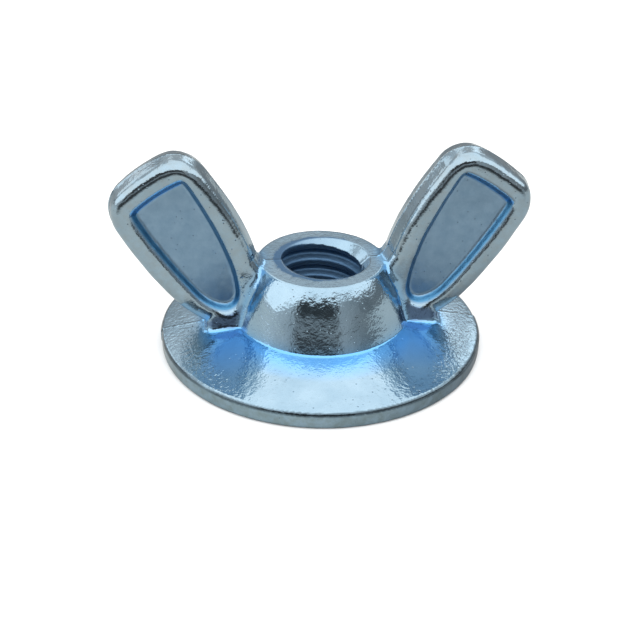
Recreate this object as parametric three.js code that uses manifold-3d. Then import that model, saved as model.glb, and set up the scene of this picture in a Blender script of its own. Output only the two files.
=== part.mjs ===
// Wing nut for a 1/4-20 stud: a one-piece zinc die casting with a wide washer base.
//
// Millimetres, +Z up. The origin is the centre of the flat underside. The thread runs along +Z,
// and the wings reach out along +X and -X. The mould parts on the plane y = 0.
//
// The real nut is one casting, so the model is one solid. Each feature of the casting has its
// own function below, and they are joined and cut in the order in which they lie on the nut.

import * as THREE from 'three';
import { ConvexGeometry } from 'three/addons/geometries/ConvexGeometry.js';
import { mergeVertices } from 'three/addons/utils/BufferGeometryUtils.js';
import Module from 'manifold-3d';

const wasm = await Module();
wasm.setup();

// Washer flange: a flat underside, an upright rim with a narrow bevel, and a shallow cone up to the hub
const flangeRadius = 11.1;
const undersideEdge = 0.2;
const rimWallTop = 0.88;
const rimTopRadius = 10.98;
const rimTopHeight = 1.12;

// Hub: a cone around the thread, with a steep bevel up to its flat top
const hubFootRadius = 6.04;
const hubFootHeight = 2.08;
const hubBevelFootRadius = 4.89;
const hubBevelFootHeight = 5.28;
const hubTopRadius = 4.27;
const hubHeight = 6.2;

// Thread: 1/4-20 UNC, right-hand, with blunt crests and a countersink at each end
const pitch = 25.4 / 20;
const threadMajorRadius = 25.4 / 8;
const threadDepth = 0.38 * pitch;
const threadMinorRadius = threadMajorRadius - threadDepth;
const threadRootFlat = pitch / 4;
const threadStart = -1.22 * pitch;
const countersinkRadius = 3.24;

// Wings: 3 mm thick, widest on the parting plane, with a dished panel in each face
const wingThickness = 3.0;
const wingEdgeDepth = 0.8;
const wingEdgeInset = 0.45;
const panelDepth = 0.62;
const panelWallRun = 0.37;

// Root pads: the raised block at the foot of each wing, wider towards the hub and sloping up into
// the wing. Its half width is at padWaist along the wing, level with the hub's foot.
const padStart = 3.7;
const padLength = 8.02;
const padHalfWidth = 1.84;
const padWaist = 7.0;
const padTaper = 0.1;
const padSlope = Math.tan(19 * Math.PI / 180);
const padEndSlope = Math.tan(5 * Math.PI / 180);
const padCorner = 0.5;
const padBottom = 0.4;
const padTop = 4.4;

// Facets
const turnSegments = 72;
const threadSegments = 24;
const curveSegments = 6;
const edgeSegments = 4;

// Past every face that a cutter has to clear
const clearance = 1.0;

function solid(geometry) {
  const bare = geometry.clone();
  bare.deleteAttribute('normal');
  bare.deleteAttribute('uv');
  const merged = mergeVertices(bare);
  return new wasm.Manifold(new wasm.Mesh({
    numProp: 3,
    vertProperties: merged.attributes.position.array,
    triVerts: new Uint32Array(merged.index.array),
  }));
}

function turned(profile, segments) {
  const lathe = new THREE.LatheGeometry(profile, segments);
  return solid(lathe.rotateX(Math.PI / 2));
}

// An outline in X and Z, extruded along Y and centred at y.
function slab(shape, y, options) {
  const { depth, bevelEnabled = false, bevelThickness = 0 } = options;
  const geometry = new THREE.ExtrudeGeometry(shape, { curveSegments, bevelEnabled, ...options });
  geometry.translate(0, 0, -depth / 2);
  geometry.rotateX(Math.PI / 2);
  return solid(geometry.translate(0, y, 0));
}

// Half a turn about Z, which carries one wing's features to the other wing.
function bothWings(feature) {
  return feature.add(feature.rotate([0, 0, 180]));
}

function flangeAndHub() {
  const profile = new THREE.Path();
  profile.moveTo(0, 0);
  profile.lineTo(flangeRadius - undersideEdge, 0);
  profile.quadraticCurveTo(flangeRadius, 0, flangeRadius, undersideEdge);
  profile.lineTo(flangeRadius, rimWallTop);
  profile.lineTo(rimTopRadius, rimTopHeight);
  profile.lineTo(hubFootRadius, hubFootHeight);
  profile.lineTo(hubBevelFootRadius, hubBevelFootHeight);
  profile.lineTo(hubTopRadius, hubHeight);
  profile.lineTo(0, hubHeight);
  return turned(profile.getPoints(edgeSegments), turnSegments);
}

function wingOutline() {
  const outline = new THREE.Shape();
  outline.moveTo(3.4, 1.0);
  outline.lineTo(6.4, 1.0);
  outline.bezierCurveTo(7.6, 1.75, 8.9, 2.45, 9.9, 3.55);
  outline.bezierCurveTo(11.2, 5.0, 12.6, 7.1, 13.65, 9.1);
  outline.bezierCurveTo(14.1, 10.0, 14.1, 11.2, 13.35, 11.9);
  outline.bezierCurveTo(12.65, 12.5, 11.25, 13.7, 10.0, 14.05);
  outline.bezierCurveTo(9.4, 14.2, 8.4, 14.0, 7.75, 13.15);
  outline.bezierCurveTo(6.6, 11.55, 5.2, 9.45, 4.5, 6.95);
  outline.lineTo(3.4, 5.2);
  outline.closePath();
  return outline;
}

function panelFloorOutline() {
  const outline = new THREE.Shape();
  outline.moveTo(9.24, 12.37);
  outline.bezierCurveTo(9.01, 12.44, 8.86, 12.16, 8.72, 11.88);
  outline.bezierCurveTo(7.29, 9.37, 6.1, 6.54, 5.96, 4.63);
  outline.bezierCurveTo(5.92, 3.96, 6.12, 3.51, 6.6, 3.43);
  outline.bezierCurveTo(7.1, 3.38, 7.71, 3.78, 8.31, 4.46);
  outline.bezierCurveTo(9.68, 6.09, 11.18, 8.36, 12.0, 9.9);
  outline.bezierCurveTo(12.2, 10.29, 12.15, 10.47, 11.88, 10.73);
  outline.bezierCurveTo(11.28, 11.28, 10.17, 12.02, 9.24, 12.37);
  return outline;
}

function wing() {
  return slab(wingOutline(), 0, {
    depth: wingThickness - 2 * wingEdgeDepth,
    bevelEnabled: true,
    bevelThickness: wingEdgeDepth,
    bevelSize: wingEdgeInset,
    bevelOffset: -wingEdgeInset,
    bevelSegments: 3,
  });
}

// The dished panels' cutters: each tapers from the wing's face down to the panel's floor.
function panels() {
  const options = {
    depth: 2 * clearance,
    bevelEnabled: true,
    bevelThickness: panelDepth,
    bevelSize: panelWallRun,
    bevelSegments: 1,
  };
  const face = wingThickness / 2 + clearance;
  return slab(panelFloorOutline(), face, options).add(slab(panelFloorOutline(), -face, options));
}

function rootPad() {
  const corners = [];
  for (const z of [padBottom, padTop]) {
    const rise = z - hubFootHeight;
    const end = padLength - rise * padEndSlope;
    const halfWidth = (x) => padHalfWidth + padTaper * (padWaist - x) - rise * padSlope;
    for (const side of [-1, 1]) {
      corners.push(new THREE.Vector3(padStart, side * halfWidth(padStart), z));
      corners.push(new THREE.Vector3(end - padCorner, side * halfWidth(end - padCorner), z));
      corners.push(new THREE.Vector3(end, side * (halfWidth(end) - padCorner), z));
    }
  }
  return solid(new ConvexGeometry(corners));
}

function boreCutter() {
  const sink = countersinkRadius - threadMinorRadius;
  const profile = [
    new THREE.Vector2(0, -clearance),
    new THREE.Vector2(countersinkRadius + clearance, -clearance),
    new THREE.Vector2(threadMinorRadius, sink),
    new THREE.Vector2(threadMinorRadius, hubHeight - sink),
    new THREE.Vector2(countersinkRadius + clearance, hubHeight + clearance),
    new THREE.Vector2(0, hubHeight + clearance),
  ];
  return turned(profile, threadSegments);
}

// A right-hand helix whose frames keep the thread's section square to the axis.
class ThreadHelix extends THREE.Curve {
  constructor(radius, lead, start, turns) {
    super();
    Object.assign(this, { radius, lead, start, turns });
  }

  getPoint(t, target = new THREE.Vector3()) {
    const angle = 2 * Math.PI * this.turns * t;
    const height = this.start + this.lead * this.turns * t;
    return target.set(this.radius * Math.cos(angle), this.radius * Math.sin(angle), height);
  }

  // A helix is as long per step at every height.
  getPointAt(u, target) {
    return this.getPoint(u, target);
  }

  computeFrenetFrames(steps) {
    const frames = { tangents: [], normals: [], binormals: [] };
    for (let step = 0; step <= steps; step += 1) {
      const angle = 2 * Math.PI * this.turns * step / steps;
      frames.normals.push(new THREE.Vector3(Math.cos(angle), Math.sin(angle), 0));
      frames.tangents.push(new THREE.Vector3(-Math.sin(angle), Math.cos(angle), 0));
      frames.binormals.push(new THREE.Vector3(0, 0, -1));
    }
    return frames;
  }
}

function threadCutter() {
  const inset = 0.2;
  const rootHalf = threadRootFlat / 2;
  const footHalf = rootHalf + (threadDepth + inset) * Math.tan(Math.PI / 6);
  const groove = new THREE.Shape();
  groove.moveTo(-inset, -footHalf);
  groove.lineTo(threadDepth, -rootHalf);
  groove.lineTo(threadDepth, rootHalf);
  groove.lineTo(-inset, footHalf);
  groove.closePath();
  const turns = Math.ceil(hubHeight / pitch) + 2;
  const helix = new ThreadHelix(threadMinorRadius, pitch, threadStart, turns);
  return solid(new THREE.ExtrudeGeometry(groove, {
    steps: turns * threadSegments,
    extrudePath: helix,
  }));
}

function casting() {
  return flangeAndHub()
    .add(bothWings(wing()))
    .add(bothWings(rootPad()))
    .subtract(bothWings(panels()))
    .subtract(boreCutter())
    .subtract(threadCutter());
}

function meshOf(name, body, material) {
  const { vertProperties, triVerts } = body.getMesh();
  const geometry = new THREE.BufferGeometry();
  geometry.setAttribute('position', new THREE.BufferAttribute(vertProperties, 3));
  geometry.setIndex(new THREE.BufferAttribute(triVerts, 1));
  geometry.computeVertexNormals();
  const mesh = new THREE.Mesh(geometry, material);
  mesh.name = name;
  return mesh;
}

const brightZinc = new THREE.MeshStandardMaterial({
  color: 0x97b2c3,
  roughness: 0.3,
  metalness: 1.0,
  flatShading: true,
});

const wingNut = new THREE.Group();
wingNut.add(meshOf('wing_nut_casting', casting(), brightZinc));

export default wingNut;
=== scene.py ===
"""A wing nut with a washer base: a fine cast skin over the CAD solid, its zinc plate, and a plain studio.

The skin is one closed mesh, as the nut is one casting. It is the zero level of a signed distance, in
millimetres, which joins the flange, the hub, the wings and the root pads with cast fillets and cuts the
panels and the thread.
"""

import math

import bmesh
import bpy
import numpy as np
from mathutils import Matrix, Vector


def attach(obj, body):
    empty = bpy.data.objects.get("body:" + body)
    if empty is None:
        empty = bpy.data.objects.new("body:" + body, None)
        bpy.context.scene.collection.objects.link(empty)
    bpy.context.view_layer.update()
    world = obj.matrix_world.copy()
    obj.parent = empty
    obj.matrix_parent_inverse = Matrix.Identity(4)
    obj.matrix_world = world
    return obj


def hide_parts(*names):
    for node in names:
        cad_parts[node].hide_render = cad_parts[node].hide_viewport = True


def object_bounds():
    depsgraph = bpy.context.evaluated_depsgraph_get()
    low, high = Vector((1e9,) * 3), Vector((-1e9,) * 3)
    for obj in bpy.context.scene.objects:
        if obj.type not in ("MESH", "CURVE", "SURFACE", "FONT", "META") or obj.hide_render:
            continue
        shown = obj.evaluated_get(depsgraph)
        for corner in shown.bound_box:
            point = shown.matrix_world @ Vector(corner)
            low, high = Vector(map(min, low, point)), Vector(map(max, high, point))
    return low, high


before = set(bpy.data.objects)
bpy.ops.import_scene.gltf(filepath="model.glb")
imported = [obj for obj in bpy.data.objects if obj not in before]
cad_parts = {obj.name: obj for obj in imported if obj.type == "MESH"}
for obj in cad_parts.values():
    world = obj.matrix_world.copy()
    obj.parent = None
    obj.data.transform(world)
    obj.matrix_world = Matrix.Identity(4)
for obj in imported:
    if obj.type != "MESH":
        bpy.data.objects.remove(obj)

CAD_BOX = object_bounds()
NODE = "wing_nut_casting"
MM = 0.001

# Washer flange, in millimetres
FLANGE_RADIUS = 11.1
RIM_WALL_TOP = 0.88
RIM_BEVEL_SLOPE = math.tan(math.radians(26))
RIM_BEVEL_BLEND = 0.06
RIM_TOP_RADIUS = 10.98
RIM_TOP_HEIGHT = 1.12
RIM_EDGE = 0.12
UNDERSIDE_EDGE = 0.2

# Hub: a cone whose radius at its top is HUB_TOP_RADIUS before the bevel and HUB_BEVEL_RADIUS after it
HUB_FOOT_RADIUS = 6.04
HUB_FOOT_HEIGHT = 2.08
HUB_TOP_RADIUS = 4.56
HUB_HEIGHT = 6.2
HUB_BEVEL_RADIUS = 4.27
HUB_BEVEL_SLOPE = math.tan(math.radians(34))
HUB_BEVEL_BLEND = 0.25
HUB_TOP_EDGE = 0.12
HUB_FOOT_FILLET = 0.1

# Thread, 1/4-20 UNC
PITCH = 25.4 / 20
MAJOR_RADIUS = 25.4 / 8
MINOR_RADIUS = MAJOR_RADIUS - 0.38 * PITCH
COUNTERSINK_RADIUS = 3.0
COUNTERSINK_OFFSET = 0.32
COUNTERSINK_RISE = 0.6
CHAMFER_HEIGHT = HUB_HEIGHT - COUNTERSINK_RADIUS + MINOR_RADIUS
ROOT_FLAT = PITCH / 4
RUN_OUT = 0.4
THREAD_EDGE = 0.12
BORE_EDGE = 0.05
THREAD_START = 0.28

# Wings, whose fillet to the hub shrinks within END_REACH of the hub's foot and top
HALF_WING = 1.5
DRAFT = math.tan(math.radians(8))
WING_EDGE = 0.72
WING_TO_HUB = 0.6
WING_TO_HUB_ENDS = 0.28
END_REACH = 1.2
WING_TO_PAD = 0.08
PANEL_DEPTH = 0.62
PANEL_RUN = 0.6
PANEL_FLOOR_EDGE = 0.16
PANEL_RIM_EDGE = 0.3
PANEL_WALL_REACH = 0.2

# How far the bluer plate spreads out of an inside corner, and the painted glow (a painted reflection) over
# the flange
# The painted glow is a painted reflection that brightens the flange from the hub and the wings outward
CORNER_REACH = 0.35
GLOW_FROM_HUB = 2.0
GLOW_FROM_WING = 4.6
GLOW_END = 8.6
GLOW_FADE = 1.2
GLOW_STRENGTH = 1.4

# The band of the flange that has been knocked about: its middle, its reach, and how far out it begins
SCUFF_RADIUS = 9.8
SCUFF_REACH = 1.3
SCUFF_START = 6.0
SCUFF_FADE = 1.5

# Root pads, whose half width is measured at the waist
PAD_INNER = 3.0
PAD_OUTER = 8.02
PAD_HALF_WIDTH = 1.84
PAD_WAIST = 7.0
PAD_TAPER = 0.1
PAD_HEIGHT = 4.4
PAD_SLOPE = math.tan(math.radians(19))
PAD_END_SLOPE = math.tan(math.radians(5))
PAD_CORNER = 0.7
PAD_FILLET = 0.3
PAD_FILLET_FROM_HUB = 0.6

# The parting line: a fine ridge of flash, and a small step because the two mould halves don't quite meet
FLASH_HEIGHT = 0.045
FLASH_HALF_WIDTH = 0.09
FLASH_START = 0.25
MISMATCH = 0.035
MISMATCH_UP = 0.5 * MISMATCH
MISMATCH_REACH = 0.05
MISMATCH_START = 0.5

# The slow unevenness of the cast skin, as wavelengths and heights, which fades out at the tapped bore and
# towards the underside
WAVES = ((4.5, 0.008), (2.4, 0.006), (1.1, 0.003), (0.6, 0.0016))
WAVES_OF_EACH = 5
MACHINED_EDGE = 0.3

# The mesh: its grid, its triangles, how it settles on the surface, and how close two vertices merge
STEP = 0.1
GRID_MARGIN = 0.38
TRIANGLES = 190000
SLOPE_REACH = 0.03
LEAST_SLOPE_SQUARED = 0.2
FURTHEST_MOVE = 0.5 * STEP
COINCIDENT = 0.0005


# Signed distances -------------------------------------------------------------------------------

def smooth_max(a, b, reach):
    blend = np.maximum(reach - np.abs(a - b), 0) / reach
    return np.maximum(a, b) + blend * blend * (reach / 4)


def smooth_min(a, b, reach):
    return -smooth_max(-a, -b, reach)


def ramp(value, start, full):
    """0 before start and 1 beyond full, which may lie on either side of it."""
    return np.clip((value - start) / (full - start), 0, 1)


def bezier_outline(start, *curves, steps=20):
    """The points of a closed outline: a line is given by one further point, and a cubic by three."""
    points = [np.array(start, float)]
    for curve in curves:
        if len(curve) == 1:
            points.append(np.array(curve[0], float))
            continue
        first, (second, third, last) = points[-1], np.array(curve, float)
        for t in np.linspace(0, 1, steps + 1)[1:]:
            near = (1 - t) ** 3 * first + 3 * t * (1 - t) ** 2 * second
            points.append(near + 3 * t * t * (1 - t) * third + t ** 3 * last)
    if np.allclose(points[0], points[-1]):
        points.pop()
    return np.array(points)


class Outline:
    """The signed distance to a closed outline in X and Z, kept in a fine table and read between samples."""

    LOW = np.array([2.0, -0.5])
    HIGH = np.array([15.5, 15.5])
    SPACING = 0.05

    def __init__(self, points):
        xs = np.arange(self.LOW[0], self.HIGH[0], self.SPACING)
        zs = np.arange(self.LOW[1], self.HIGH[1], self.SPACING)
        x, z = np.meshgrid(xs, zs, indexing="ij")
        nearest = np.full(x.shape, np.inf)
        inside = np.zeros(x.shape, bool)
        for (ax, az), (bx, bz) in zip(points, np.roll(points, -1, axis=0)):
            ex, ez = bx - ax, bz - az
            t = np.clip(((x - ax) * ex + (z - az) * ez) / (ex * ex + ez * ez), 0, 1)
            nearest = np.minimum(nearest, np.hypot(x - ax - t * ex, z - az - t * ez))
            if az != bz:
                crosses = (az > z) != (bz > z)
                inside ^= crosses & (x < ax + (z - az) * ex / ez)
        self.table = np.where(inside, -nearest, nearest).astype(np.float32)

    def distance(self, x, z):
        i = np.clip((x - self.LOW[0]) / self.SPACING, 0, self.table.shape[0] - 1.001)
        k = np.clip((z - self.LOW[1]) / self.SPACING, 0, self.table.shape[1] - 1.001)
        i0, k0 = i.astype(np.int32), k.astype(np.int32)
        u, w = i - i0, k - k0
        low = self.table[i0, k0] * (1 - u) + self.table[i0 + 1, k0] * u
        high = self.table[i0, k0 + 1] * (1 - u) + self.table[i0 + 1, k0 + 1] * u
        return low * (1 - w) + high * w


WING = Outline(bezier_outline(
    (3.4, 1.0),
    [(6.4, 1.0)],
    [(7.6, 1.75), (8.9, 2.45), (9.9, 3.55)],
    [(11.2, 5.0), (12.6, 7.1), (13.65, 9.1)],
    [(14.1, 10.0), (14.1, 11.2), (13.35, 11.9)],
    [(12.65, 12.5), (11.25, 13.7), (10.0, 14.05)],
    [(9.4, 14.2), (8.4, 14.0), (7.75, 13.15)],
    [(6.6, 11.55), (5.2, 9.45), (4.5, 6.95)],
    [(3.4, 5.2)],
))

PANEL = Outline(bezier_outline(
    (9.3, 12.77),
    [(8.95, 12.87), (8.7, 12.45), (8.5, 12.1)],
    [(7.0, 9.5), (5.75, 6.6), (5.6, 4.6)],
    [(5.55, 3.9), (5.8, 3.25), (6.5, 3.1)],
    [(7.1, 3.0), (7.9, 3.4), (8.6, 4.2)],
    [(10.0, 5.9), (11.5, 8.2), (12.35, 9.8)],
    [(12.65, 10.35), (12.6, 10.6), (12.2, 10.95)],
    [(11.6, 11.5), (10.3, 12.4), (9.3, 12.77)],
))


def slanted(across, along, slope):
    """The distance to a wall that leans by slope: how far across it a point is, and how far along."""
    return (across + along * slope) / math.hypot(1, slope)


def flange(r, z):
    slope = (HUB_FOOT_HEIGHT - RIM_TOP_HEIGHT) / (RIM_TOP_RADIUS - HUB_FOOT_RADIUS)
    top = slanted(z - RIM_TOP_HEIGHT, r - RIM_TOP_RADIUS, slope)
    bevel = slanted(r - FLANGE_RADIUS, z - RIM_WALL_TOP, RIM_BEVEL_SLOPE)
    rim = smooth_max(r - FLANGE_RADIUS, bevel, RIM_BEVEL_BLEND)
    return smooth_max(smooth_max(rim, -z, UNDERSIDE_EDGE), top, RIM_EDGE)


def hub(r, z):
    slope = (HUB_FOOT_RADIUS - HUB_TOP_RADIUS) / (HUB_HEIGHT - HUB_FOOT_HEIGHT)
    side = slanted(r - HUB_TOP_RADIUS, z - HUB_HEIGHT, slope)
    bevel = slanted(r - HUB_BEVEL_RADIUS, z - HUB_HEIGHT, HUB_BEVEL_SLOPE)
    crown = smooth_max(smooth_max(side, bevel, HUB_BEVEL_BLEND), z - HUB_HEIGHT, HUB_TOP_EDGE)
    return np.maximum(crown, -z)


def wing(x, y, z):
    half = np.abs(y)
    wall = slanted(WING.distance(x, z), half, DRAFT)
    return smooth_max(wall, half - HALF_WING, WING_EDGE)


def panel_wall(x, y, z):
    return slanted(PANEL.distance(x, z), HALF_WING - np.abs(y), PANEL_RUN)


def panel(x, y, z):
    """The air in the recessed panels."""
    return smooth_max(panel_wall(x, y, z), HALF_WING - PANEL_DEPTH - np.abs(y), PANEL_FLOOR_EDGE)


def root_pad(x, y, z):
    half_width = PAD_HALF_WIDTH + PAD_TAPER * (PAD_WAIST - x)
    side = slanted(np.abs(y) - half_width, z - HUB_FOOT_HEIGHT, PAD_SLOPE)
    end = slanted(x - PAD_OUTER, z - HUB_FOOT_HEIGHT, PAD_END_SLOPE)
    walls = smooth_max(side, end, PAD_CORNER)
    return np.maximum(np.maximum(walls, z - PAD_HEIGHT), np.maximum(PAD_INNER - x, -z))


def countersink(r, angle, z):
    """The air in the upper countersink, which was drilled a little off the thread's axis."""
    cone = slanted(r - COUNTERSINK_OFFSET * np.cos(angle) - COUNTERSINK_RADIUS, HUB_HEIGHT - z, 1.0)
    return np.maximum(cone, z - HUB_HEIGHT - COUNTERSINK_RISE)


def bore(r, angle, z):
    """The air in the bore: the tapped thread and a countersink at each end."""
    turn = z / PITCH - angle / (2 * math.pi) - THREAD_START
    from_root = np.abs(turn - np.floor(turn) - 0.5) * PITCH
    run_out = np.clip((CHAMFER_HEIGHT - z) / RUN_OUT, 0, 1)
    root_radius = MINOR_RADIUS + (MAJOR_RADIUS - MINOR_RADIUS) * run_out
    flank = slanted(from_root - ROOT_FLAT / 2, r - MAJOR_RADIUS, math.tan(math.radians(30)))
    groove = smooth_max(r - root_radius, flank, THREAD_EDGE)
    thread = smooth_min(r - MINOR_RADIUS, groove, THREAD_EDGE)
    lower = slanted(r - COUNTERSINK_RADIUS, z, 1.0)
    return np.minimum(thread, np.minimum(countersink(r, angle, z), lower))


def casting(x, y, z):
    """The signed distance to the nut, negative inside. All arrays broadcast, so a grid costs little."""
    r = np.sqrt(x * x + y * y)
    reach = np.abs(x)
    barrel = hub(r, z)
    blade = smooth_min(wing(reach, y, z), root_pad(reach, y, z), WING_TO_PAD)
    blade = smooth_max(blade, -panel(reach, y, z), PANEL_RIM_EDGE)
    past_end = np.maximum((z - HUB_HEIGHT) / END_REACH, (HUB_FOOT_HEIGHT - z) / END_REACH)
    near_end = np.clip(past_end + 1, 0, 1)
    upper = smooth_min(barrel, blade, WING_TO_HUB + (WING_TO_HUB_ENDS - WING_TO_HUB) * near_end)
    off_hub = np.clip(barrel / PAD_FILLET_FROM_HUB, 0, 1)
    body = smooth_min(upper, flange(r, z), HUB_FOOT_FILLET + (PAD_FILLET - HUB_FOOT_FILLET) * off_hub)
    flash = FLASH_HEIGHT * np.clip(1 - np.abs(y) / FLASH_HALF_WIDTH, 0, 1)
    body = body - flash * np.clip(z / FLASH_START - 1, 0, 1)
    return smooth_max(body, -bore(r, np.arctan2(y, x), z), BORE_EDGE)


def on(distance, depth):
    """1 on a surface, falling to 0 at a depth below or above it."""
    return np.clip(1 - np.abs(distance) / depth, 0, 1)


def plate_zones(x, y, z):
    """Where the plate differs, and where shade, a dark reflection or a glow is painted on it, from 0 to 1.

    film is the bluer plate of the inside corners, wall that of the panels' walls, and painted_glow a painted
    blue glow, a painted reflection, on the flange beside the hub and the wings. recess is the duller floor
    of the panels, tapped_and_shaded the thread, which is rougher and is painted darker as shade in the bore,
    shaded_neck painted shade on the faces of the root pads under the wings, wing the greyer skin of the
    wings, rim the flange's upright wall, rim_dark_line a painted dark reflection along its bevel, and
    scuffed the band of the flange that has been knocked about.
    """
    r = np.sqrt(x * x + y * y)
    reach = np.abs(x)
    depth = HALF_WING - np.abs(y)
    barrel, blade_wing, pad, plate = hub(r, z), wing(reach, y, z), root_pad(reach, y, z), flange(r, z)
    blade = np.minimum(blade_wing, pad)
    nearest_neighbour = np.sort([plate, barrel, blade], axis=0)[1]
    on_flange = (np.abs(plate) < 0.1) & (z > 0.9)
    # The painted glow: a painted reflection, strongest next to the hub and the wings, cut off past the
    # wings' ends
    beside_wing = ramp(reach, GLOW_END, GLOW_END - GLOW_FADE)
    painted_glow = np.maximum(1 - barrel / GLOW_FROM_HUB, (1 - blade / GLOW_FROM_WING) * beside_wing)
    on_bevel = ramp(r, RIM_TOP_RADIUS - 0.03, RIM_TOP_RADIUS + 0.01) * (z < RIM_TOP_HEIGHT + 0.05)
    in_wall = ramp(depth, 0.12, 0.2) * ramp(depth, PANEL_DEPTH - 0.05, PANEL_DEPTH - 0.11)
    in_bore = ramp(countersink(r, np.arctan2(y, x), z), 0, 0.05) * (r < MAJOR_RADIUS + 0.1)
    return {
        "film": np.exp(-np.maximum(nearest_neighbour, 0) / CORNER_REACH),
        "wall": in_wall * (np.abs(panel_wall(reach, y, z)) < PANEL_WALL_REACH),
        "recess": ramp(depth, 0, 0.12) * (reach > HUB_TOP_RADIUS) * (PANEL.distance(reach, z) < 0),
        # Painted blue glow on the flange beside the hub and the wings, a painted reflection
        "painted_glow": np.clip(GLOW_STRENGTH * painted_glow, 0, 1) * on_flange,
        # The thread: rougher, and painted darker there as shade in the bore
        "tapped_and_shaded": in_bore * ramp(z, 0, 0.4),
        # Painted shade on the root pads' faces under the wings
        "shaded_neck": (np.abs(pad) < 0.08) * ramp(z, HUB_FOOT_HEIGHT - 0.1, HUB_FOOT_HEIGHT + 0.1)
        * ramp(barrel, 0.1, 0.4) * ramp(blade_wing, 0, 0.1),
        "wing": on(blade_wing, 0.3) * ramp(z, 2.4, 3.0) * ramp(barrel, 0.1, 0.5),
        "rim": ramp(r, FLANGE_RADIUS - 0.08, FLANGE_RADIUS - 0.04) * (z < RIM_WALL_TOP),
        # A painted dark reflection along the flange's bevel
        "rim_dark_line": on_bevel * ramp(z, RIM_WALL_TOP - 0.02, RIM_WALL_TOP + 0.02),
        "scuffed": np.clip(SCUFF_REACH - np.abs(r - SCUFF_RADIUS), 0, 1)
        * ramp(reach, SCUFF_START, SCUFF_START + SCUFF_FADE) * on_flange,
    }


# The skin ---------------------------------------------------------------------------------------

def surface_net(values, low, step):
    """The zero level of a grid: a vertex in each cell it crosses, and a quad round each crossed edge."""
    inside = values < 0
    cells = np.array(values.shape) - 1
    rings, crossings = [], []
    for axis in range(3):
        near, far = [slice(None)] * 3, [slice(None)] * 3
        near[axis], far[axis] = slice(None, -1), slice(1, None)
        near, far = tuple(near), tuple(far)
        crossed = inside[near] != inside[far]
        index = np.argwhere(crossed)
        a, b = values[near][crossed], values[far][crossed]
        place = index.astype(float)
        place[:, axis] += a / (a - b)
        ring = []
        for back_1, back_2 in ((1, 1), (0, 1), (0, 0), (1, 0)):
            cell = index.copy()
            cell[:, (axis + 1) % 3] -= back_1
            cell[:, (axis + 2) % 3] -= back_2
            ring.append((cell[:, 0] * cells[1] + cell[:, 1]) * cells[2] + cell[:, 2])
        ring = np.stack(ring, axis=1)
        outward = inside[near][crossed]
        ring[~outward] = ring[~outward][:, ::-1]
        rings.append(ring)
        crossings.append(np.repeat(place, 4, axis=0))
    rings = np.concatenate(rings)
    crossings = np.concatenate(crossings)
    _, faces = np.unique(rings, return_inverse=True)
    faces = faces.reshape(-1)
    count = np.bincount(faces)
    centres = np.stack([np.bincount(faces, crossings[:, c]) / count for c in range(3)], axis=1)
    return low + centres * step, faces.reshape(-1, 4)


def coarse_skin():
    """The nut on a grid whose Y samples straddle the parting plane, so a row of vertices lies on it."""
    half_x, half_y, top = (value / MM + GRID_MARGIN for value in CAD_BOX[1])
    columns = math.ceil(half_x / STEP)
    rows = math.ceil(half_y / STEP)
    x = np.arange(-columns, columns + 1) * STEP
    y = (np.arange(-rows, rows) + 0.5) * STEP
    z = np.arange(-2.5 * STEP, top, STEP)
    values = casting(
        x.astype(np.float32)[:, None, None],
        y.astype(np.float32)[None, :, None],
        z.astype(np.float32)[None, None, :],
    )
    return surface_net(values, np.array([x[0], y[0], z[0]]), STEP)


def cast_waves(points):
    """The slow unevenness of a cast skin, a few hundredths of a millimetre high."""
    rng = np.random.default_rng(7)
    total = np.zeros(len(points))
    for wavelength, height in WAVES:
        for _ in range(WAVES_OF_EACH):
            way = rng.normal(size=3)
            way *= 2 * math.pi / (wavelength * np.linalg.norm(way))
            wave = np.sin(points @ way + rng.uniform(0, 2 * math.pi))
            total += height * wave / math.sqrt(WAVES_OF_EACH)
    return total


def skin_distance(points):
    """The distance with what is too fine for the grid: the mould halves' mismatch and the cast waves."""
    x, y, z = points.T
    side = np.clip(y / MISMATCH_REACH, -1, 1)
    value = casting(x + MISMATCH * side, y, z + MISMATCH_UP * side * (z > MISMATCH_START))
    off_bore = np.clip((np.hypot(x, y) - COUNTERSINK_RADIUS) / MACHINED_EDGE, 0, 1)
    off_underside = np.clip(z / MACHINED_EDGE, 0, 1)
    return value - cast_waves(points) * (off_bore * off_underside)


def slope_at(points):
    slope = np.empty_like(points)
    for axis in range(3):
        offset = np.zeros(3)
        offset[axis] = SLOPE_REACH
        slope[:, axis] = skin_distance(points + offset) - skin_distance(points - offset)
    return slope / (2 * SLOPE_REACH)


def settle(points, rounds=2):
    """Moves points onto the exact surface."""
    for _ in range(rounds):
        slope = slope_at(points)
        length_squared = np.maximum((slope * slope).sum(axis=1), LEAST_SLOPE_SQUARED)
        move = (skin_distance(points) / length_squared)[:, None] * slope
        points = points - np.clip(move, -FURTHEST_MOVE, FURTHEST_MOVE)
    return points


def points_of(mesh):
    co = np.empty(len(mesh.vertices) * 3, np.float32)
    mesh.vertices.foreach_get("co", co)
    return co.reshape(-1, 3).astype(float)


def thinned(mesh, triangles):
    """The mesh with fewer triangles where it is flat."""
    holder = bpy.data.objects.new("holder", mesh)
    bpy.context.scene.collection.objects.link(holder)
    split = holder.modifiers.new("triangles", "TRIANGULATE")
    split.quad_method = "SHORTEST_DIAGONAL"
    thin = holder.modifiers.new("thin", "DECIMATE")
    thin.ratio = min(1.0, triangles / (2 * len(mesh.polygons)))
    graph = bpy.context.evaluated_depsgraph_get()
    result = bpy.data.meshes.new_from_object(holder.evaluated_get(graph), depsgraph=graph)
    bpy.data.objects.remove(holder)
    return result


def merge_coincident(mesh):
    """Joins vertices that have settled onto the same point, which leaves no triangle without an area."""
    work = bmesh.new()
    work.from_mesh(mesh)
    bmesh.ops.remove_doubles(work, verts=work.verts, dist=COINCIDENT * MM)
    work.to_mesh(mesh)
    work.free()


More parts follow.
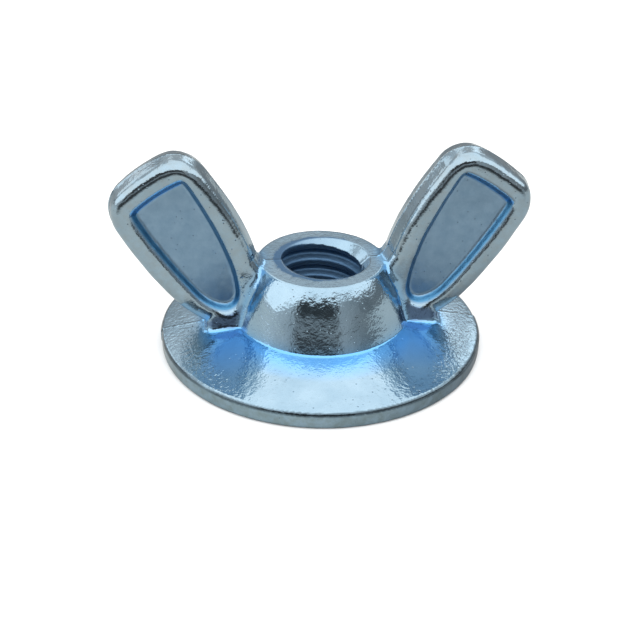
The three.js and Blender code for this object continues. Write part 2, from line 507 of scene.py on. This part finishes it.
def make_skin():
    points, faces = coarse_skin()
    rough = bpy.data.meshes.new("rough")
    rough.from_pydata(settle(points) * MM, [], faces)
    mesh = thinned(rough, TRIANGLES)
    mesh.name = "wing_nut_skin"
    points = settle(points_of(mesh) / MM)
    points[:, 2] = np.maximum(points[:, 2], 0)
    mesh.vertices.foreach_set("co", (points * MM).astype(np.float32).ravel())
    merge_coincident(mesh)
    points = points_of(mesh) / MM
    mesh.shade_smooth()
    mesh.update()
    normals = slope_at(points)
    normals /= np.linalg.norm(normals, axis=1)[:, None]
    mesh.normals_split_custom_set_from_vertices(normals)
    for zone, amount in plate_zones(*points.T).items():
        attribute = mesh.attributes.new(zone, "FLOAT", "POINT")
        attribute.data.foreach_set("value", amount.astype(np.float32))
    piece = bpy.data.objects.new("wing_nut_skin", mesh)
    bpy.context.scene.collection.objects.link(piece)
    return piece


# Material ---------------------------------------------------------------------------------------

class Nodes:
    """A small helper for writing node trees in few lines."""

    def __init__(self, tree):
        self.tree = tree
        tree.nodes.clear()

    def add(self, kind, inputs=None, **settings):
        node = self.tree.nodes.new(kind)
        for key, value in settings.items():
            setattr(node, key, value)
        for key, value in (inputs or {}).items():
            if isinstance(value, bpy.types.NodeSocket):
                self.tree.links.new(value, node.inputs[key])
            else:
                node.inputs[key].default_value = value
        return node

    def noise(self, place, scale, detail=2.0, roughness=0.5):
        inputs = {"Vector": place, "Scale": scale, "Detail": detail, "Roughness": roughness}
        return self.add("ShaderNodeTexNoise", inputs).outputs[0]

    def remap(self, value, low, high, to_low, to_high):
        inputs = {"Value": value, "From Min": low, "From Max": high, "To Min": to_low, "To Max": to_high}
        return self.add("ShaderNodeMapRange", inputs, clamp=True).outputs["Result"]

    def mix_colour(self, factor, first, second):
        node = self.add("ShaderNodeMix", data_type="RGBA")
        for socket, value in ((node.inputs[0], factor), (node.inputs[6], first), (node.inputs[7], second)):
            if isinstance(value, bpy.types.NodeSocket):
                self.tree.links.new(value, socket)
            else:
                socket.default_value = value
        return node.outputs[2]

    def math(self, operation, first, second):
        return self.add("ShaderNodeMath", {0: first, 1: second}, operation=operation).outputs[0]


# The plate: its clean colour and clouds, and the colours of its zones
CLEAN = (0.285, 0.415, 0.515, 1)
CLOUDED = (0.345, 0.480, 0.580, 1)
FLECKED = (0.24, 0.34, 0.42, 1)
CORNER_BLUE = (0.15, 0.42, 0.74, 1)
# The painted glow's colour: a painted reflection that brightens the flange beside the hub and the wings
PAINTED_GLOW_BLUE = (0.18, 0.50, 0.94, 1)
WALL_BLUE = (0.085, 0.25, 0.43, 1)
RECESSED = (0.235, 0.36, 0.49, 1)
SPECKLED = (0.15, 0.26, 0.38, 1)
GREYED = (0.30, 0.36, 0.39, 1)
# Painted shade in the bore, over the thread
BORE_SHADE = (0.07, 0.155, 0.28, 1)
# Painted shade on the root pads' faces under the wings
NECK_SHADE = (0.10, 0.17, 0.30, 1)
MOTTLED = (0.21, 0.28, 0.29, 1)
# A painted dark reflection along the flange's bevel
PAINTED_DARK_LINE = (0.035, 0.05, 0.06, 1)
PITTED = (0.08, 0.10, 0.12, 1)

# The relief: how much calmer it is on the flat faces of the wings, how much coarser on the scuffs, and how
# high it is everywhere else
FACE_CALM = 0.4
SCUFF_RELIEF = 3.8
RELIEF_MM = 0.03

# How much rougher the panels' floors and the thread are
RECESS_SATIN = 0.2
TAPPED_SATIN = 0.38


def zone_of(nodes, name):
    return nodes.add("ShaderNodeAttribute", attribute_name=name).outputs["Fac"]


def plate_colour(nodes, clouds, grain, mottle, cells):
    """The clean plate with clouds and flecks, then each zone's tint over the ones before it, then pits."""
    uneven = nodes.remap(clouds, 0.3, 0.7, 0.75, 1.0)
    tints = (
        ("wing", nodes.remap(mottle, 0.35, 0.65, 0.2, 0.75), GREYED),
        # Painted blue glow, a painted reflection, on the flange beside the hub and the wings
        ("painted_glow", uneven, PAINTED_GLOW_BLUE),
        ("film", 0.8, CORNER_BLUE),
        ("recess", uneven, RECESSED),
        ("recess", nodes.remap(mottle, 0.35, 0.65, 0.0, 0.45), SPECKLED),
        ("wall", 1.0, WALL_BLUE),
        # Painted shade in the bore
        ("tapped_and_shaded", 0.9, BORE_SHADE),
        # Painted shade on the root pads' faces under the wings
        ("shaded_neck", 0.85, NECK_SHADE),
        ("rim", nodes.remap(mottle, 0.35, 0.65, 0.0, 0.75), MOTTLED),
        # Painted dark reflection along the flange's bevel
        ("rim_dark_line", nodes.remap(clouds, 0.3, 0.6, 0.55, 0.9), PAINTED_DARK_LINE),
    )
    colour = nodes.mix_colour(nodes.remap(clouds, 0.35, 0.65, 0.0, 1.0), CLEAN, CLOUDED)
    colour = nodes.mix_colour(nodes.remap(grain, 0.3, 0.45, 0.3, 0.0), colour, FLECKED)
    for zone, strength, tint in tints:
        colour = nodes.mix_colour(nodes.math("MULTIPLY", zone_of(nodes, zone), strength), colour, tint)
    return nodes.mix_colour(nodes.remap(cells, 0.05, 0.09, 0.6, 0.0), colour, PITTED)


def cast_relief(nodes, per_mm, cells):
    """The skin's fine relief: crinkles, calm on the wings' flat faces and coarse on the scuffs, and pits."""
    peel = nodes.noise(per_mm, 3.6, detail=1.5, roughness=0.5)
    fine = nodes.noise(per_mm, 8.0, detail=1.5, roughness=0.5)
    crinkles = nodes.math("ADD", nodes.math("MULTIPLY", peel, 0.62), nodes.math("MULTIPLY", fine, 0.3))
    facing = nodes.add("ShaderNodeNewGeometry").outputs["Normal"]
    facing_y = nodes.add("ShaderNodeSeparateXYZ", {"Vector": facing}).outputs["Y"]
    sideways = nodes.math("ABSOLUTE", facing_y, 0.0)
    axes = nodes.add("ShaderNodeSeparateXYZ", {"Vector": per_mm}).outputs
    outside_hub = nodes.remap(nodes.math("ABSOLUTE", axes["X"], 0.0), 3.8, 4.4, 0.0, 1.0)
    face = nodes.math("MULTIPLY", outside_hub, nodes.remap(sideways, 0.9, 0.98, 0.0, 1.0))
    crinkles = nodes.math("MULTIPLY", crinkles, nodes.remap(face, 0.0, 1.0, 1.0, FACE_CALM))
    roughened = nodes.remap(zone_of(nodes, "scuffed"), 0.0, 1.0, 1.0, SCUFF_RELIEF)
    crinkles = nodes.math("MULTIPLY", crinkles, roughened)
    pits = nodes.math("MULTIPLY", nodes.remap(cells, 0.05, 0.12, -1.0, 0.0), 0.5)
    return nodes.math("ADD", crinkles, pits)


def zinc_plate():
    """Blue-white zinc plate: metal with clouded colour, patchy gloss, a fine crinkled skin and pits."""
    material = bpy.data.materials.new("bright_zinc_plate")
    material.use_nodes = True
    nodes = Nodes(material.node_tree)
    place = nodes.add("ShaderNodeTexCoord").outputs["Object"]
    per_mm = nodes.add("ShaderNodeVectorMath", {0: place, 1: (1 / MM,) * 3}, operation="MULTIPLY").outputs[0]
    clouds = nodes.noise(per_mm, 0.45, detail=4.0, roughness=0.6)
    grain = nodes.noise(per_mm, 9.0, detail=3.0, roughness=0.6)
    smudges = nodes.noise(per_mm, 1.1, detail=5.0, roughness=0.65)
    mottle = nodes.noise(per_mm, 1.4, detail=4.0, roughness=0.7)
    cells = nodes.add("ShaderNodeTexVoronoi", {"Vector": per_mm, "Scale": 2.0}).outputs["Distance"]
    roughness = nodes.remap(smudges, 0.3, 0.7, 0.07, 0.13)
    roughness = nodes.math("ADD", roughness, nodes.remap(grain, 0.35, 0.65, 0.0, 0.04))
    for zone, satin in (("recess", RECESS_SATIN), ("tapped_and_shaded", TAPPED_SATIN)):
        roughness = nodes.math("ADD", roughness, nodes.math("MULTIPLY", zone_of(nodes, zone), satin))
    height = cast_relief(nodes, per_mm, cells)
    bump = nodes.add("ShaderNodeBump", {"Strength": 0.8, "Distance": RELIEF_MM * MM, "Height": height})
    shader = nodes.add("ShaderNodeBsdfPrincipled", {
        "Base Color": plate_colour(nodes, clouds, grain, mottle, cells),
        "Metallic": 1.0,
        "Roughness": roughness,
        "Normal": bump.outputs["Normal"],
    })
    nodes.add("ShaderNodeOutputMaterial", {"Surface": shader.outputs["BSDF"]})
    return material


# The floor: as the camera sees it, and as the metal does
FLOOR_SEEN = (0.82, 0.82, 0.82, 1)
FLOOR_IN_METAL = (0.50, 0.50, 0.48, 1)
# FLOOR_SHADED is a painted shadow beside the nut, FLOOR_FAR painted shade far out in front
FLOOR_SHADED = (0.27, 0.27, 0.27, 1)
FLOOR_FAR = (0.04, 0.04, 0.04, 1)
FLOOR_BEHIND = (0.27, 0.28, 0.28, 1)


def floor_paint():
    """A pale floor, which the camera sees paler than the metal does, as a sweep lit on its own would be.

    In the metal it carries a painted shadow to the right of the nut and painted shade far out in front, and
    it is darker behind on the left.
    """
    material = bpy.data.materials.new("pale_floor")
    material.use_nodes = True
    nodes = Nodes(material.node_tree)
    place = nodes.add("ShaderNodeTexCoord").outputs["Object"]
    axes = nodes.add("ShaderNodeSeparateXYZ", {"Vector": place}).outputs
    away = nodes.add("ShaderNodeVectorMath", {0: place}, operation="LENGTH").outputs["Value"]
    shaded = nodes.remap(axes["X"], -3 * MM, 9 * MM, 0.0, 1.0)
    shaded = nodes.math("MULTIPLY", shaded, nodes.remap(away, 12 * MM, 18 * MM, 1.0, 0.2))
    in_metal = nodes.mix_colour(shaded, FLOOR_IN_METAL, FLOOR_SHADED)
    in_front = nodes.remap(nodes.math("DIVIDE", axes["Y"], away), -0.75, -0.45, 1.0, 0.0)
    beyond = nodes.math("MULTIPLY", nodes.remap(away, 36 * MM, 60 * MM, 0.0, 1.0), in_front)
    in_metal = nodes.mix_colour(beyond, in_metal, FLOOR_FAR)
    behind = nodes.remap(nodes.math("DIVIDE", axes["Y"], away), 0.4, 0.7, 0.0, 1.0)
    behind = nodes.math("MULTIPLY", nodes.remap(away, 24 * MM, 42 * MM, 0.0, 1.0), behind)
    to_left = nodes.remap(nodes.math("DIVIDE", axes["X"], away), 0.05, -0.15, 0.0, 1.0)
    behind = nodes.math("MULTIPLY", behind, to_left)
    in_metal = nodes.mix_colour(behind, in_metal, FLOOR_BEHIND)
    seen = nodes.add("ShaderNodeLightPath").outputs["Is Camera Ray"]
    colour = nodes.mix_colour(seen, in_metal, FLOOR_SEEN)
    shader = nodes.add("ShaderNodeBsdfDiffuse", {"Color": colour})
    nodes.add("ShaderNodeOutputMaterial", {"Surface": shader.outputs["BSDF"]})
    return material


# Studio -----------------------------------------------------------------------------------------

# The floor's half width in metres, and the gap that keeps it off the nut's underside
FLOOR_HALF = 3.0
FLOOR_GAP = 0.00002


def make_floor():
    corners = [(x * FLOOR_HALF, y * FLOOR_HALF, 0) for x, y in ((-1, -1), (1, -1), (1, 1), (-1, 1))]
    mesh = bpy.data.meshes.new("floor")
    mesh.from_pydata(corners, [], [(0, 1, 2, 3)])
    floor = bpy.data.objects.new("floor", mesh)
    floor.location.z = -FLOOR_GAP
    mesh.materials.append(floor_paint())
    bpy.context.scene.collection.objects.link(floor)


def soft_box(name, azimuth, elevation, distance, width, depth, power):
    """A large area light that faces the nut. Azimuth 0 is behind the nut, as the camera sees it."""
    lamp = bpy.data.lights.new(name, "AREA")
    lamp.shape = "RECTANGLE"
    lamp.size, lamp.size_y = width, depth
    lamp.energy = power
    box = bpy.data.objects.new(name, lamp)
    turn, lift = math.radians(azimuth), math.radians(elevation)
    away = Vector((math.sin(turn) * math.cos(lift), math.cos(turn) * math.cos(lift), math.sin(lift)))
    box.location = away * distance
    box.rotation_euler = away.to_track_quat("Z", "Y").to_euler()
    box.visible_glossy = False
    bpy.context.scene.collection.objects.link(box)


def grey(level):
    return (level, level, level, 1)


def layered(nodes, value, first, layers):
    """One grey over another as a value rises: each layer fades in between two values."""
    colour = grey(first)
    for start, full, level in layers:
        colour = nodes.mix_colour(nodes.remap(value, start, full, 0.0, 1.0), colour, grey(level))
    return colour


def window(nodes, turn, lift, middle, half_width, sill, head):
    """One inside a bright rectangle of the surroundings, and nothing outside it."""
    aside = nodes.math("ABSOLUTE", nodes.math("SUBTRACT", turn, middle), 0.0)
    within = nodes.remap(aside, half_width - 1.5, half_width + 1.5, 1.0, 0.0)
    within = nodes.math("MULTIPLY", within, nodes.remap(lift, sill - 1, sill + 1, 0.0, 1.0))
    return nodes.math("MULTIPLY", within, nodes.remap(lift, head - 1, head + 1, 1.0, 0.0))


# The room, in degrees of lift above the horizon and of turn from the front towards the right. Each layer is
# where it starts, where it is full, and how bright it is.
BACK_LOWEST = 0.40
BACK_LAYERS = ((13, 19, 0.55), (26.5, 29.5, 0.95), (31, 38, 0.75), (44, 50, 1.68))
FRONT_LEFTMOST = 0.80
FRONT_LAYERS = ((-80, -45, 0.62), (15, 62, 0.27))

# Bright windows in the back: middle turn, half width, sill, head and brightness
WINDOWS = ((-140, 18, -5, 13, 0.62), (152, 12, 25, 36, 2.0), (-164, 9, 38, 47, 1.6), (-132, 16, 14, 30, 1.5))

# A dark block low in front, and the bright light above the front. The lift of the light's lower edge changes
# between two turns on the left and between two on the right.
BLOCK_TURN = -12
BLOCK_HALF_WIDTH = 31
BLOCK_SHADE = 0.07
LIGHT_ABOVE = 1.75
LIGHT_EDGE = 27.5
LIGHT_EDGE_LEFT = 4.5
LIGHT_TURNS_LEFT = (-75, -35)
LIGHT_EDGE_DROP_RIGHT = 13.0
LIGHT_TURNS_RIGHT = (35, 80)

# The turns, either way, between which the front of the room gives way to the back
BACK_TURNS = (95, 110)


def front_of_room(nodes, turn, lift):
    front = layered(nodes, turn, FRONT_LEFTMOST, FRONT_LAYERS)
    aside = nodes.math("ABSOLUTE", nodes.math("SUBTRACT", turn, BLOCK_TURN), 0.0)
    across = nodes.remap(aside, BLOCK_HALF_WIDTH - 2, BLOCK_HALF_WIDTH + 2, 1.0, 0.0)
    block = nodes.math("MULTIPLY", across, nodes.remap(lift, 5, 10, 0.35, 1.0))
    front = nodes.mix_colour(block, front, grey(BLOCK_SHADE))
    edge = nodes.remap(turn, *LIGHT_TURNS_LEFT, LIGHT_EDGE_LEFT, LIGHT_EDGE)
    edge = nodes.math("SUBTRACT", edge, nodes.remap(turn, *LIGHT_TURNS_RIGHT, 0.0, LIGHT_EDGE_DROP_RIGHT))
    above = nodes.math("SUBTRACT", lift, edge)
    return nodes.mix_colour(nodes.remap(above, 0.0, 2.0, 0.0, 1.0), front, grey(LIGHT_ABOVE))


def back_of_room(nodes, turn, lift):
    back = layered(nodes, lift, BACK_LOWEST, BACK_LAYERS)
    for middle, half_width, sill, head, level in WINDOWS:
        back = nodes.mix_colour(window(nodes, turn, lift, middle, half_width, sill, head), back, grey(level))
    return back


def make_world():
    """A pale room as the metal sees it, and plain white as the camera does."""
    world = bpy.data.worlds.new("studio")
    bpy.context.scene.world = world
    world.use_nodes = True
    nodes = Nodes(world.node_tree)
    way = nodes.add("ShaderNodeTexCoord").outputs["Generated"]
    axes = nodes.add("ShaderNodeSeparateXYZ", {"Vector": way}).outputs
    lift = nodes.math("MULTIPLY", nodes.math("ARCSINE", axes["Z"], 0.0), 180 / math.pi)
    towards = nodes.math("MULTIPLY", axes["Y"], -1.0)
    turn = nodes.math("MULTIPLY", nodes.math("ARCTAN2", axes["X"], towards), 180 / math.pi)
    behind = nodes.remap(nodes.math("ABSOLUTE", turn, 0.0), *BACK_TURNS, 0.0, 1.0)
    shade = nodes.mix_colour(behind, front_of_room(nodes, turn, lift), back_of_room(nodes, turn, lift))
    seen = nodes.add("ShaderNodeLightPath").outputs["Is Camera Ray"]
    colour = nodes.mix_colour(seen, shade, grey(1.0))
    background = nodes.add("ShaderNodeBackground", {"Color": colour, "Strength": 1.0})
    nodes.add("ShaderNodeOutputWorld", {"Surface": background.outputs["Background"]})


# Camera: where it stands, from a point on the thread's axis
CAMERA_AZIMUTH = -6.6
CAMERA_ELEVATION = 29.1
CAMERA_DISTANCE = 78.64
CAMERA_TARGET_HEIGHT = 4.44
CAMERA_PAN = 0.05
CAMERA_DIP = 1.975
CAMERA_ROLL = 1.02
LENS_MM = 64.28


def make_camera():
    turn = math.radians(CAMERA_AZIMUTH)
    lift = math.radians(CAMERA_ELEVATION)
    away = Vector((math.sin(turn) * math.cos(lift), -math.cos(turn) * math.cos(lift), math.sin(lift)))
    data = bpy.data.cameras.new("camera")
    data.lens = LENS_MM
    data.clip_start, data.clip_end = 0.005, 20
    camera = bpy.data.objects.new("camera", data)
    facing = away.to_track_quat("Z", "Y").to_matrix().to_4x4()
    pan = Matrix.Rotation(math.radians(CAMERA_PAN), 4, "Y")
    dip = Matrix.Rotation(math.radians(-CAMERA_DIP), 4, "X")
    roll = Matrix.Rotation(math.radians(CAMERA_ROLL), 4, "Z")
    place = Matrix.Translation(Vector((0, 0, CAMERA_TARGET_HEIGHT * MM)) + away * CAMERA_DISTANCE * MM)
    camera.matrix_world = place @ facing @ roll @ pan @ dip
    bpy.context.scene.collection.objects.link(camera)
    bpy.context.scene.camera = camera


def main():
    skin = make_skin()
    skin.data.materials.append(zinc_plate())
    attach(skin, "root")
    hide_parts(NODE)
    make_floor()
    make_world()
    soft_box("overhead", azimuth=0, elevation=88, distance=0.35, width=0.5, depth=0.5, power=0.8)
    make_camera()
    bpy.context.scene.view_settings.view_transform = "Standard"
    bpy.context.view_layer.update()


main()
